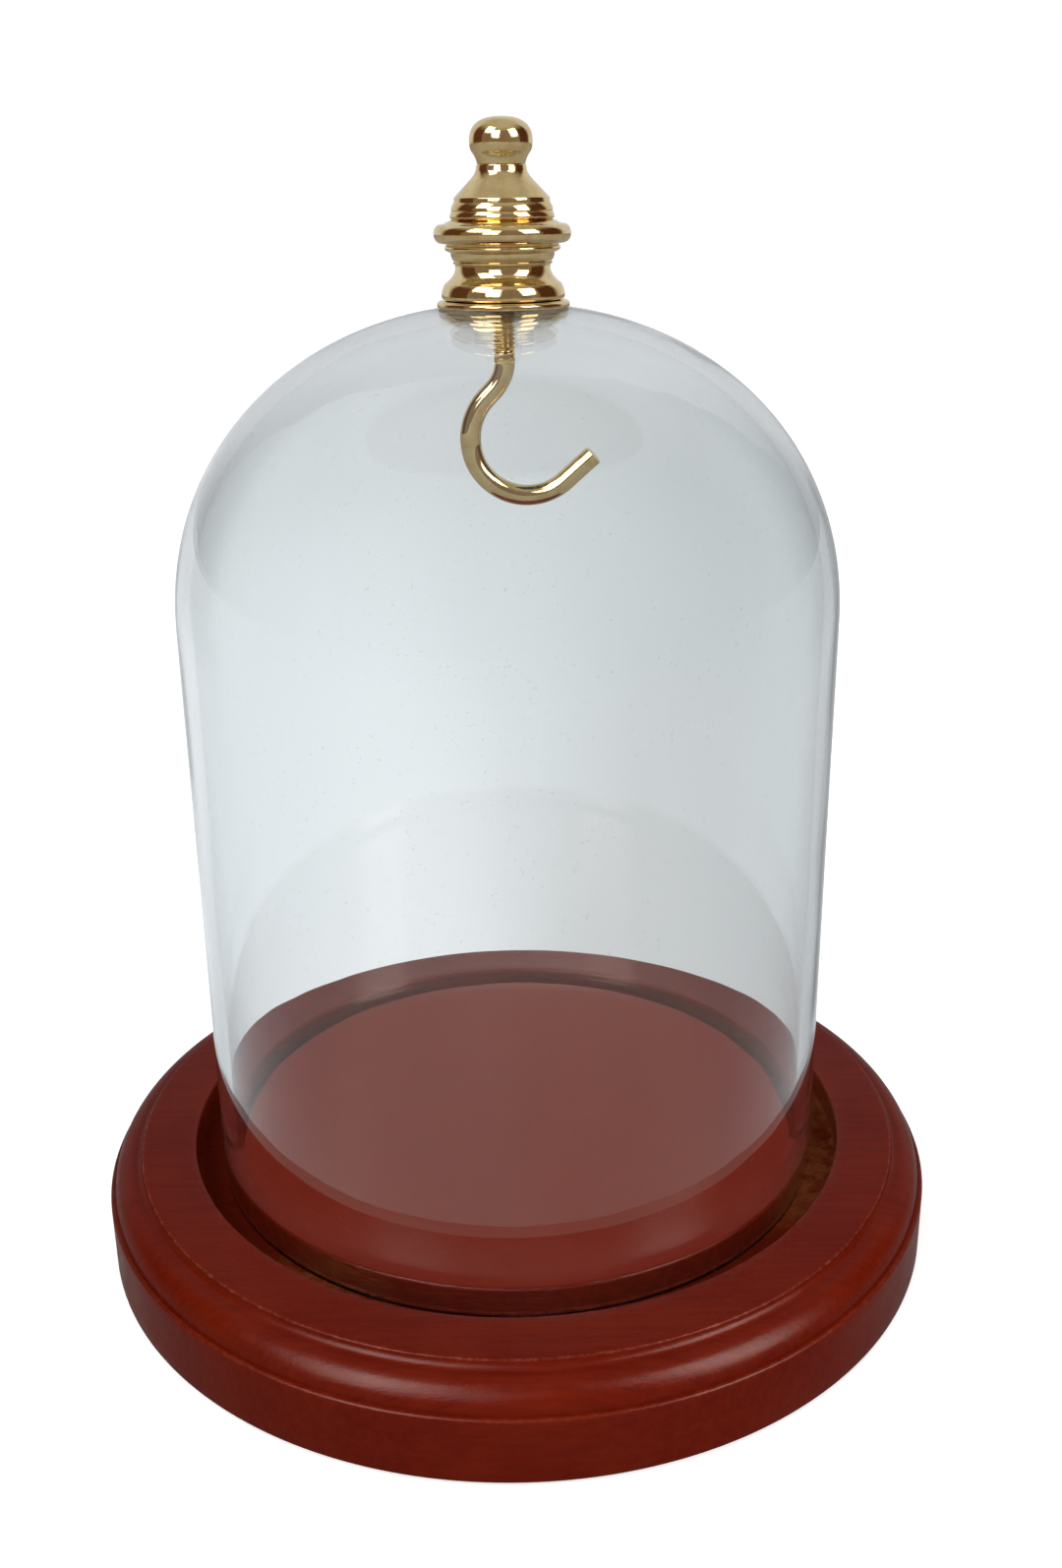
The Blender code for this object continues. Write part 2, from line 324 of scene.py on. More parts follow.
    # Bump distances are in metres.
    fine = nodes.noise(place, 4.5, 3, 0.6)
    peel = nodes.noise(place, 1.1, 2, 0.5)
    turning = nodes.add("TexWave", wave_type="RINGS", rings_direction="Z")
    nodes.put(turning.inputs["Vector"], place)
    turning.inputs["Scale"].default_value = 0.55
    turning.inputs["Distortion"].default_value = 1.5
    normal = nodes.bump(peel, 0.00004, 0.3)
    normal = nodes.bump(fine, 0.00004, 0.5, normal)
    normal = nodes.bump(turning.outputs["Fac"], 0.00001, 0.3, normal)
    normal = nodes.bump(pores, 0.00005, 0.5, normal)
    rough_cut = nodes.math("MULTIPLY", groove, fibres)
    normal = nodes.bump(rough_cut, 0.0007, 0.9, normal)
    nodes.put(shader.inputs["Normal"], normal)
    return made


def glass_material():
    """Clear blown glass with faint waves and a little dust, and painted shade where seen edge-on.
    """
    made, nodes, shader, output = new_material("clear_glass")
    place, _, _, z, _ = object_place(nodes)
    tint = nodes.noise(nodes.stretch(place, 0.02, 0.02, 0.015), 1.0, 2, 0.5)
    colour = nodes.mix(nodes.ramp(tint, 0.3, 0.7), (0.955, 0.975, 0.975), (0.985, 0.995, 0.99))

    # Painted shade: grey at the outline, and a grey crescent on each shoulder a little way inside
    # it.
    painted_edge_shade = (0.34, 0.37, 0.39)
    facing = nodes.add("LayerWeight")
    facing.inputs["Blend"].default_value = 0.5
    edge_on = nodes.ramp(facing.outputs["Facing"], 0.62, 0.92, 0.0, 0.30)
    shoulder = nodes.band(z, SHOULDER + 11, 5, 10)
    crescent = nodes.math(
        "MULTIPLY",
        nodes.ramp(facing.outputs["Facing"], 0.48, 0.70, 0.0, 0.34),
        nodes.ramp(facing.outputs["Facing"], 0.97, 0.86),
    )
    crescent = nodes.math("MULTIPLY", crescent, shoulder)
    colour = nodes.mix(nodes.math("MAXIMUM", edge_on, crescent), colour, painted_edge_shade)
    nodes.put(shader.inputs["Base Color"], colour)
    shader.inputs["Transmission Weight"].default_value = 1
    shader.inputs["Roughness"].default_value = 0
    shader.inputs["IOR"].default_value = 1.43
    waves = nodes.noise(nodes.stretch(place, 0.05, 0.05, 0.02), 1.0, 2, 0.4)
    nodes.put(shader.inputs["Normal"], nodes.bump(waves, 0.0006, 0.25))

    # Dust and dried wiping marks.
    specks = nodes.noise(place, 1.7, 2, 0.5)
    wiped = nodes.noise(nodes.stretch(place, 0.09, 0.09, 0.03), 1.0, 5, 0.65)
    dust = nodes.math(
        "ADD", nodes.ramp(specks, 0.70, 0.74, 0.0, 0.10), nodes.ramp(wiped, 0.5, 0.8, 0.0, 0.012)
    )
    film = nodes.add("BsdfDiffuse")
    film.inputs["Color"].default_value = (0.75, 0.75, 0.74, 1)
    dusty = nodes.add("MixShader")
    nodes.put(dusty.inputs[0], dust)
    nodes.put(dusty.inputs[1], shader.outputs[0])
    nodes.put(dusty.inputs[2], film.outputs[0])

    # Light that reaches it from a lamp, the brass or the wood goes straight through.
    ray = nodes.add("LightPath")
    seen = nodes.math("MAXIMUM", ray.outputs["Is Camera Ray"], ray.outputs["Is Singular Ray"])
    clear = nodes.add("BsdfTransparent")
    clear.inputs["Color"].default_value = (0.92, 0.925, 0.925, 1)
    through = nodes.add("MixShader")
    nodes.put(through.inputs[0], seen)
    nodes.put(through.inputs[1], clear.outputs[0])
    nodes.put(through.inputs[2], dusty.outputs[0])
    nodes.put(output.inputs["Surface"], through.outputs[0])
    return made


def brass_material(name, lines):
    """Polished brass with faint tarnish and smears, and fine lines stretched as given."""
    made, nodes, shader, _ = new_material(name)
    place, *_ = object_place(nodes)
    bright = (0.84, 0.66, 0.34)
    dim = (0.70, 0.49, 0.22)
    brown = (0.50, 0.31, 0.14)
    tarnish = nodes.noise(place, 0.55, 4, 0.6)
    spots = nodes.noise(place, 2.6, 3, 0.6)
    colour = nodes.mix(nodes.ramp(tarnish, 0.35, 0.75), bright, dim)
    colour = nodes.mix(nodes.ramp(spots, 0.66, 0.78, 0.0, 0.4), colour, brown)
    nodes.put(shader.inputs["Base Color"], colour)
    shader.inputs["Metallic"].default_value = 1
    nodes.put(shader.inputs["Roughness"], nodes.ramp(tarnish, 0.3, 0.75, 0.04, 0.09))
    wave = nodes.noise(nodes.stretch(place, *lines), 1.0, 3, 0.7)
    dents = nodes.noise(place, 0.7, 2, 0.4)
    normal = nodes.bump(wave, 0.00001, 0.5)
    normal = nodes.bump(dents, 0.00012, 0.16, normal)
    nodes.put(shader.inputs["Normal"], normal)
    return made


def plastic_material():
    """Clear moulded plastic, hardly visible but for its edges and a slight cloud."""
    made, nodes, shader, output = new_material("clear_plastic")
    place, *_ = object_place(nodes)
    cloud = nodes.noise(place, 0.8, 3, 0.5)
    nodes.put(
        shader.inputs["Base Color"],
        nodes.mix(nodes.ramp(cloud, 0.3, 0.7), (0.86, 0.87, 0.85), (0.95, 0.96, 0.95)),
    )
    nodes.put(shader.inputs["Roughness"], nodes.ramp(cloud, 0.3, 0.7, 0.04, 0.10))
    shader.inputs["Transmission Weight"].default_value = 0.4
    shader.inputs["IOR"].default_value = 1.49
    nodes.put(shader.inputs["Normal"], nodes.bump(nodes.noise(place, 3.0), 0.00004, 0.4))
    clear = nodes.add("BsdfTransparent")
    clear.inputs["Color"].default_value = (0.97, 0.975, 0.97, 1)
    facing = nodes.add("LayerWeight")
    facing.inputs["Blend"].default_value = 0.25
    edge = nodes.ramp(facing.outputs["Facing"], 0.45, 1.0, 0.02, 0.28)
    through = nodes.add("MixShader")
    nodes.put(through.inputs[0], nodes.math("ADD", edge, nodes.ramp(cloud, 0.3, 0.7, 0.0, 0.03)))
    nodes.put(through.inputs[1], clear.outputs[0])
    nodes.put(through.inputs[2], shader.outputs[0])
    nodes.put(output.inputs["Surface"], through.outputs[0])
    return made


def felt_material():
    """Dense green wool felt."""
    made, nodes, shader, _ = new_material("green_felt")
    place, *_ = object_place(nodes)
    fibre = nodes.noise(nodes.stretch(place, 1.6, 4.5, 3.0), 1.0, 6, 0.75, 2.2)
    crossed = nodes.noise(nodes.stretch(place, 4.5, 1.6, 3.0), 1.0, 6, 0.75, 2.2)
    fuzz = nodes.math("MULTIPLY", fibre, crossed)
    mottle = nodes.noise(place, 0.16, 3, 0.5)
    green = nodes.mix(nodes.ramp(fuzz, 0.16, 0.38), (0.008, 0.030, 0.016), (0.030, 0.095, 0.052))
    green = nodes.mix(nodes.ramp(mottle, 0.3, 0.7, 0.0, 0.4), green, (0.020, 0.060, 0.034))
    nodes.put(shader.inputs["Base Color"], green)
    shader.inputs["Roughness"].default_value = 0.95
    shader.inputs["Sheen Weight"].default_value = 0.5
    shader.inputs["Sheen Roughness"].default_value = 0.4
    nodes.put(shader.inputs["Normal"], nodes.bump(fuzz, 0.0004, 0.9))
    return made


# Outlines ------------------------------------------------------------------


def arc(centre_r, centre_z, radius, start, end, points):
    """Points on an arc, with angles in degrees from +R towards +Z."""
    return oval(centre_r, centre_z, radius, radius, start, end, points)


def oval(centre_r, centre_z, half_r, half_z, start, end, points):
    """Points on an ellipse, with angles in degrees from +R towards +Z."""
    outline = []
    for i in range(points):
        angle = math.radians(start + (end - start) * i / (points - 1))
        outline.append((centre_r + half_r * math.cos(angle), centre_z + half_z * math.sin(angle)))
    return outline


def smooth(points, steps=6):
    """A Catmull-Rom curve through the points."""
    ends = [points[0], *points, points[-1]]
    outline = []
    for i in range(1, len(ends) - 2):
        for k in range(steps):
            t = k / steps
            outline.append(
                tuple(
                    0.5
                    * (
                        2 * b
                        + (c - a) * t
                        + (2 * a - 5 * b + 4 * c - d) * t**2
                        + (3 * b - a - 3 * c + d) * t**3
                    )
                    for a, b, c, d in zip(ends[i - 1], ends[i], ends[i + 1], ends[i + 2])
                )
            )
    outline.append(points[-1])
    return outline


def glass_top(r):
    """Height of the dome's outer surface at this radius."""
    return SHOULDER + CROWN_HEIGHT * (1 - (r / GLASS_RADIUS) ** CROWN_POWER) ** (1 / CROWN_POWER)


LEDGE_ROUND = 0.35
LEDGE_RADIUS = BASE_RADIUS - LEDGE_ROUND
LEDGE_HEIGHT = WOOD_TOP - 4.2
GROOVE_WIDTH = GROOVE_OUTER - GROOVE_INNER


def base_outline():
    """From the centre of the top, over the groove, ring, cove, bead and wall, to the underside."""
    edge = 0.16
    ring_edge = 0.14
    foot = 0.3
    floor = WOOD_TOP - GROOVE_DEPTH
    corner = 0.35
    cove_depth = 1.05
    cove_out = 0.8
    bead_inner = RING_RADIUS + cove_out
    bead_outer = 51.8
    bead_top = WOOD_TOP - cove_depth
    cove_steps, bead_steps = 8, 18
    outline = [(r, WOOD_TOP) for r in range(0, 34, 3)]
    outline += arc(GROOVE_INNER - edge, WOOD_TOP - edge, edge, 90, 0, 5)
    outline += [(GROOVE_INNER, WOOD_TOP - depth) for depth in (0.7, 1.4, 2.1, 2.7)]
    outline += arc(GROOVE_INNER + corner, floor + corner, corner, 180, 270, 5)
    outline += [(GROOVE_INNER + GROOVE_WIDTH * t, floor) for t in (0.2, 0.35, 0.5, 0.65, 0.8)]
    outline += arc(GROOVE_OUTER - corner, floor + corner, corner, 270, 360, 5)
    outline += [(GROOVE_OUTER, WOOD_TOP - depth) for depth in (2.7, 2.1, 1.4, 0.7)]
    outline += arc(GROOVE_OUTER + edge, WOOD_TOP - edge, edge, 180, 90, 5)
    outline += [(43.0, WOOD_TOP), (45.0, WOOD_TOP), (47.0, WOOD_TOP)]
    outline += arc(RING_RADIUS - ring_edge, WOOD_TOP - ring_edge, ring_edge, 90, 0, 6)
    for i in range(1, cove_steps + 1):
        angle = math.radians(90 * i / cove_steps)
        outline.append(
            (
                RING_RADIUS + cove_out * (1 - math.cos(angle)),
                WOOD_TOP - edge - (cove_depth - edge) * math.sin(angle),
            )
        )
    for i in range(1, bead_steps + 1):
        angle = math.radians(90 * i / bead_steps)
        outline.append(
            (
                bead_inner + (bead_outer - bead_inner) * math.sin(angle),
                LEDGE_HEIGHT + (bead_top - LEDGE_HEIGHT) * math.cos(angle),
            )
        )
    outline += arc(LEDGE_RADIUS, LEDGE_HEIGHT - LEDGE_ROUND, LEDGE_ROUND, 90, 0, 7)
    outline += [(BASE_RADIUS, LEDGE_HEIGHT - drop) for drop in (2.0, 4.0, 6.0)]
    outline += arc(BASE_RADIUS - foot, WOOD_BOTTOM + foot, foot, 0, -90, 5)
    outline += [(r, WOOD_BOTTOM) for r in (40.0, 20.0, 0.0)]
    return outline


def crown(radius, height, points):
    """A superellipse from the hole down to the shoulder."""
    first = math.acos((HOLE_RADIUS / radius) ** (CROWN_POWER / 2))
    outline = []
    for i in range(points):
        turn = first * (1 - i / (points - 1))
        outline.append(
            (
                radius * math.cos(turn) ** (2 / CROWN_POWER),
                SHOULDER + height * math.sin(turn) ** (2 / CROWN_POWER),
            )
        )
    return outline


def glass_outline():
    """The outer surface down to the polished rim, then the inner surface back up."""
    rim = GLASS_WALL / 2
    rim_round = 0.45
    crown_points = 60
    wall = [SHOULDER - drop for drop in (10, 20, 30, 40, 50, 60)]
    outer = crown(GLASS_RADIUS, CROWN_HEIGHT, crown_points)
    inner = crown(GLASS_RADIUS - GLASS_WALL, CROWN_HEIGHT - GLASS_WALL, crown_points)
    outline = outer + [(GLASS_RADIUS, z) for z in wall]
    outline += oval(GLASS_RADIUS - rim, RIM_BOTTOM + rim_round, rim, rim_round, 0, -180, 13)
    outline += [(GLASS_RADIUS - GLASS_WALL, z) for z in wall[::-1]] + inner[::-1]
    return outline


def knob_outline():
    """The knob from its top down its outer side, then up its bore."""
    middle = 131.2
    ball_radius = 3.38
    ball_power = 2.5
    ball_steps = 23
    outline = []
    for i in range(ball_steps + 1):
        turn = math.radians(90 * (1 - i / ball_steps))
        r = ball_radius * math.cos(turn) ** (2 / ball_power) if i else 0
        outline.append((r, middle + (KNOB_TOP - middle) * math.sin(turn) ** (2 / ball_power)))
    outline += smooth([(3.37, 130.95), (3.30, 130.62), (3.16, 130.30), (2.98, 130.06)])
    under_ball = smooth([(2.93, 129.98), (2.78, 129.70), (2.66, 129.40), (2.58, 129.08)])
    neck = smooth([(2.48, 129.02), (2.64, 128.96), (2.68, 128.75), (2.74, 128.42)])
    bell = smooth(
        [
            (2.78, 128.30),
            (2.94, 128.02),
            (3.22, 127.66),
            (3.60, 127.26),
            (4.06, 126.80),
            (4.52, 126.33),
            (4.96, 125.88),
            (5.12, 125.72),
        ]
    )
    edge = [(5.15, 125.66), (5.16, 125.36)]
    upper_step = smooth([(5.17, 125.24), (5.31, 125.02), (5.43, 124.75), (5.49, 124.48)])
    lower_step = smooth([(5.50, 124.26), (5.59, 124.04), (5.63, 123.80), (5.58, 123.64)])
    slope = smooth([(5.40, 123.56), (5.62, 123.44), (5.95, 123.28), (6.28, 123.10)])
    disc = oval(6.68, 122.08, 0.74, 0.96, 104, -84, 26)
    ring_under_disc = smooth(
        [(6.10, 121.02), (6.10, 120.94), (6.22, 120.78), (6.26, 120.58), (6.18, 120.38)]
    )
    band = smooth([(5.80, 120.20), (5.64, 120.14), (5.60, 119.80), (5.50, 119.50)])
    fine_ring = [(5.30, 119.28), (5.38, 119.20), (5.38, 119.02), (5.22, 118.93)]
    waist = smooth(
        [
            (5.15, 118.84),
            (5.17, 118.55),
            (5.25, 118.20),
            (5.40, 117.88),
            (5.62, 117.58),
            (5.90, 117.30),
            (6.18, 117.08),
            (6.30, 117.00),
        ]
    )
    lower_round = smooth(
        [
            (6.38, 116.90),
            (6.52, 116.66),
            (6.63, 116.36),
            (6.70, 116.06),
            (6.73, 115.78),
            (6.72, 115.52),
            (6.64, 115.38),
        ]
    )
    outline += under_ball + neck + bell + edge + upper_step + [(5.42, 124.36)] + lower_step
    outline += slope + disc + ring_under_disc + band + fine_ring + waist + lower_round
    outline += [(6.52, KNOB_BOTTOM + 0.01), (6.4, KNOB_BOTTOM), (BORE_RADIUS, KNOB_BOTTOM)]
    outline += [(BORE_RADIUS, BORE_TOP - 0.5), (0, BORE_TOP)]
    return outline


def seat_outline():
    """The brass flange under the knob, dished below, with a lip that hides the gasket."""
    lift = GASKET_THICKNESS + 2 * THIN_GAP
    lip = 6.8
    lip_lift = 0.17
    edge = 0.3
    under = [lip - (lip - BORE_RADIUS) * i / 8 for i in range(9)]
    outline = [(BORE_RADIUS, SEAT_TOP), (6.3, SEAT_TOP), (6.4, SEAT_TOP - 0.04)]
    outline += [(6.75, SEAT_TOP - 0.06), (lip, SEAT_TOP - 0.12)]
    outline += arc(SEAT_RADIUS - edge, SEAT_TOP - 0.42, edge, 80, 0, 7)
    outline += [(SEAT_RADIUS, glass_top(SEAT_RADIUS) + 0.24)]
    outline += [(SEAT_RADIUS - 0.06, glass_top(SEAT_RADIUS) + lip_lift)]
    outline += [(lip + 0.1, glass_top(lip) + lip_lift)]
    return outline + [(r, glass_top(r) + lift) for r in under]


def outer_gasket_outline():
    """A clear disc on the glass, thinned where the flange's lip comes down over it."""
    radius = outer_gasket_high.x
    thick = 6.7
    radii = [HOLE_RADIUS + (thick - HOLE_RADIUS) * i / 8 for i in range(9)]
    top = [(r, glass_top(r) + THIN_GAP + GASKET_THICKNESS) for r in radii]
    thin = [(thick + 0.12, glass_top(thick) + 0.12), (radius - 0.02, glass_top(radius) + 0.11)]
    rim = [(radius, glass_top(radius) + 0.08), (radius - 0.02, glass_top(radius) + THIN_GAP)]
    bottom = [(r, glass_top(r) + THIN_GAP) for r in radii]
    return top + thin + rim + bottom[::-1]


def inner_gasket_outline():
    """A flat clear washer with a round edge, from its bore's top out and back under."""
    radius, top, bottom = gasket_high.x, gasket_high.z, gasket_low.z
    half = (top - bottom) / 2
    outline = [(BORE_RADIUS, top)] + arc(radius - half, top - half, half, 90, -90, 9)
    return outline + [(BORE_RADIUS, bottom)]


# Meshes --------------------------------------------------------------------


def lathe(name, outline, steps, look, body, node, slot, ripple=None):
    """Turns an outline that runs down its outer side, and puts the piece in the frame.

    ripple takes a point in millimetres and gives it back moved a little.
    """
    mesh = bmesh.new()
    closed = outline[0][0] > 0 or outline[-1][0] > 0
    columns = []
    for r, z in outline:
        if r == 0:
            columns.append([mesh.verts.new((0, 0, z))] * steps)
            continue
        ring = []
        for k in range(steps):
            angle = 2 * math.pi * k / steps
            ring.append(mesh.verts.new((r * math.cos(angle), r * math.sin(angle), z)))
        columns.append(ring)
    pairs = list(zip(columns, columns[1:]))
    if closed:
        pairs.append((columns[-1], columns[0]))
    for upper, lower in pairs:
        for k in range(steps):
            after = (k + 1) % steps
            corners = []
            for vert in (upper[k], lower[k], lower[after], upper[after]):
                if vert not in corners:
                    corners.append(vert)
            mesh.faces.new(corners)
    for vert in mesh.verts:
        if ripple is not None:
            vert.co = ripple(vert.co)
        vert.co = mm(vert.co)
    bmesh.ops.recalc_face_normals(mesh, faces=mesh.faces)
    return place(name, mesh, look, body, node, slot)


def place(name, mesh, look, body, node, slot):
    """Makes an object of the mesh, riding on a body in place of a CAD node."""
    data = bpy.data.meshes.new(name)
    mesh.to_mesh(data)
    mesh.free()
    data.materials.append(look)
    data.shade_smooth()
    data.set_sharp_from_angle(angle=math.radians(28))
    piece = bpy.data.objects.new(name, data)
    bpy.context.scene.collection.objects.link(piece)
    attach(piece, body)
    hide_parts(node)
    return piece


def rough_groove(co):
    """Tool marks in the groove, and slightly uneven edges, within a tenth of a millimetre."""
    r = math.hypot(co.x, co.y)
    depth = WOOD_TOP - co.z
    if not GROOVE_INNER - 0.3 < r < GROOVE_OUTER + 0.3 or co.z < WOOD_TOP - GROOVE_DEPTH - 0.1:
        return co
    away = Vector((co.x / r, co.y / r, 0))
    at_edge, inside, edge_depth = 0.05, 0.12, 0.3
    amount = at_edge if depth < edge_depth else inside
    coarse = noise.noise(Vector((co.x * 0.5, co.y * 0.5, co.z * 0.8)))
    fine = noise.noise(Vector((co.x * 2.1, co.y * 2.1, co.z * 2.5)))
    outwards = 1 if r > (GROOVE_INNER + GROOVE_OUTER) / 2 else -1
    cut = abs(0.6 * coarse + 0.4 * fine) * amount
    if depth > GROOVE_DEPTH - 0.1:
        return co - Vector((0, 0, cut))
    return co + away * outwards * cut


def blown(co):
    """Slow waves in the glass, some hundredths of a millimetre high."""
    r = math.hypot(co.x, co.y)
    wave_height = 0.05
    if r < SEAT_RADIUS + 1.0:
        return co
    wave = noise.noise(Vector((co.x * 0.045, co.y * 0.045, co.z * 0.03)))
    return co + Vector((co.x / r, co.y / r, 0)) * wave_height * (wave - 0.5)


def hook_path():
    """The wire's centre line from the top of the shank to TIP_END short of its end."""
    lean_x, lean_z = math.sin(HOOK_LEAN), math.cos(HOOK_LEAN)
    start_x = HOOK_CENTRE_X - HOOK_RADIUS * lean_z
    start_z = HOOK_CENTRE_Z + HOOK_RADIUS * lean_x
    bend_x = NECK_BEND_RADIUS * (1 - lean_z)
    bend_z = NECK_BEND_RADIUS * lean_x
    straight = (-start_x - bend_x) / lean_x
    neck_z = start_z + straight * lean_z + bend_z
    top = hook_high.z
    rise = THREAD_PITCH / 10
    points = [(0, top - rise * i) for i in range(int((top - THREAD_BOTTOM) / rise))]
    points += [(0, THREAD_BOTTOM - 0.2), (0, (THREAD_BOTTOM + neck_z) / 2)]
    for i in range(15):
        angle = HOOK_LEAN * i / 14
        points.append(
            (
                -NECK_BEND_RADIUS * (1 - math.cos(angle)),
                neck_z - NECK_BEND_RADIUS * math.sin(angle),
            )
        )
    sweep = math.pi / 2 + HOOK_LEAN + TIP_LEAN
    for i in range(61):
        angle = math.pi - HOOK_LEAN + sweep * i / 60
        points.append(
            (
                HOOK_CENTRE_X + HOOK_RADIUS * math.cos(angle),
                HOOK_CENTRE_Z + HOOK_RADIUS * math.sin(angle),
            )
        )
    x, z = points[-1]
    for i in range(1, 6):
        along = (TIP_LENGTH - TIP_END) * i / 5
        points.append((x + along * math.cos(TIP_LEAN), z + along * math.sin(TIP_LEAN)))
    return points


def wire_hook(look):
    """A bent wire with a cut thread on its shank and a chamfered tip."""
    sides = 48
    path = hook_path()
    rings = []
    for i, (x, z) in enumerate(path):
        before, after = path[max(i - 1, 0)], path[min(i + 1, len(path) - 1)]
        along = Vector((after[0] - before[0], 0, after[1] - before[1])).normalized()
        rings.append((Vector((x, 0, z)), along, None))
    chamfer = 0.28
    tip, along, _ = rings[-1]
    rings.append((tip + along * (TIP_END - chamfer / 2), along, WIRE_RADIUS))
    rings.append((tip + along * TIP_END, along, WIRE_RADIUS - chamfer))
    top, along, _ = rings[0]
    rings[0] = (top, along, THREAD_RADIUS - 0.25)
    mesh = bmesh.new()
    made = []
    depth = 0.24
    run_out_length = 0.8
    step_down = 0.1
    for centre, along, fixed in rings:
        across = along.cross(Vector((0, 1, 0))).normalized()
        ring = []
        for k in range(sides):
            angle = 2 * math.pi * k / sides
            radius = fixed or WIRE_RADIUS
            if fixed is None and centre.z > THREAD_BOTTOM and abs(centre.x) < 0.01:
                turn = (centre.z / THREAD_PITCH - k / sides) % 1
                cut = min(1, 1.25 * abs(2 * turn - 1))
                run_out = min(1, (centre.z - THREAD_BOTTOM) / run_out_length)
                radius = THREAD_RADIUS - depth * cut * run_out - step_down * (1 - run_out)
            offset = across * math.cos(angle) + Vector((0, 1, 0)) * math.sin(angle)
            ring.append(mesh.verts.new(mm(centre + radius * offset)))
        made.append(ring)
    for upper, lower in zip(made, made[1:]):
        for k in range(sides):
            after = (k + 1) % sides
            mesh.faces.new((upper[k], lower[k], lower[after], upper[after]))
    mesh.faces.new(made[0])
    mesh.faces.new(made[-1][::-1])
    bmesh.ops.recalc_face_normals(mesh, faces=mesh.faces)
    return place("wire_hook", mesh, look, "knob_and_hook", "hook", "polished_brass")


def plastic_nut(look):
    """A hexagonal nut with turned corners and a threaded bore."""
    sides, rows = 96, 28
    flat = nut_high.y
    bottom, top = nut_low.z, nut_high.z
    trim = 0.12
    chamfer = 0.45
    thread_depth = 0.16
    turned = flat / math.cos(math.radians(30)) - trim
    slope = math.tan(math.radians(30))
    mesh = bmesh.new()

    def hexagon(angle):
        return flat / math.cos((angle + math.pi / 6) % (math.pi / 3) - math.pi / 6)

    columns = []
    for i in range(rows + 1):
        z = bottom + (top - bottom) * i / rows
        cap = turned - max(0, chamfer - min(z - bottom, top - z)) * 1.2
        column = []
        for k in range(sides):
            angle = 2 * math.pi * k / sides
            r = min(hexagon(angle), cap + trim * slope)
            column.append(mesh.verts.new((r * math.cos(angle), r * math.sin(angle), z)))
        columns.append(column)
    inner = []
    for i in range(rows + 1):
        z = bottom + (top - bottom) * i / rows
        column = []
        for k in range(sides):
            angle = 2 * math.pi * k / sides
            turn = (z / THREAD_PITCH - k / sides) % 1
            r = BORE_RADIUS + thread_depth * abs(2 * turn - 1)
            column.append(mesh.verts.new((r * math.cos(angle), r * math.sin(angle), z)))
        inner.append(column)
    loop = columns + inner[::-1]
    for lower, upper in zip(loop, loop[1:] + loop[:1]):
        for k in range(sides):
            after = (k + 1) % sides
            mesh.faces.new((lower[k], lower[after], upper[after], upper[k]))
    for vert in mesh.verts:
        vert.co = mm(vert.co)
    bmesh.ops.recalc_face_normals(mesh, faces=mesh.faces)
    return place("plastic_nut", mesh, look, "knob_and_hook", "clamp_nut", "clear_plastic")


def felt_disc(look):
    """The felt under the base, with a soft uneven edge and nap."""
    rings = 26
    edge = FELT_RADIUS - 0.1
    outline = []
    for i in range(rings):
        outline.append((FELT_RADIUS * i / rings, FELT_TOP))
    outline += [(edge, FELT_TOP), (FELT_RADIUS, FELT_TOP / 2), (edge, 0)]
    for i in range(rings - 1, -1, -1):
        outline.append((FELT_RADIUS * i / rings, 0))

    def nap(co):
        """Fibres that stop unevenly short of the underside and of the cut edge."""
        r = math.hypot(co.x, co.y)
        rough = noise.noise(Vector((co.x * 1.7, co.y * 1.7, co.z * 3)))
        z = co.z + 0.05 * abs(rough) if co.z < FELT_TOP / 4 else co.z
        shrink = 1 - 0.003 * abs(rough) if r > FELT_RADIUS - 0.2 else 1
        return Vector((co.x * shrink, co.y * shrink, z))

    piece = lathe("felt_disc", outline, 256, look, "base", "felt_pad", "felt", nap)
    return piece


# Stage ---------------------------------------------------------------------

FLOOR_RADIUS = 3000
FLOOR_GLOW = 0.55
# The room at the object's sides, as the glass mirrors it and as it is seen through it.
GLASS_SIDE = (0.10, 0.11, 0.12)
SEEN_THROUGH_SIDE = (0.52, 0.54, 0.56)
# Lamps stand this many metres away.
WINDOW_DISTANCE = 4.0
WINDOW_RADIANCE = 4.8
WOOD_WINDOW_RADIANCE = 19.0
BACK_GAP_RADIANCE = 2.6
WARM = (1.0, 0.80, 0.70)


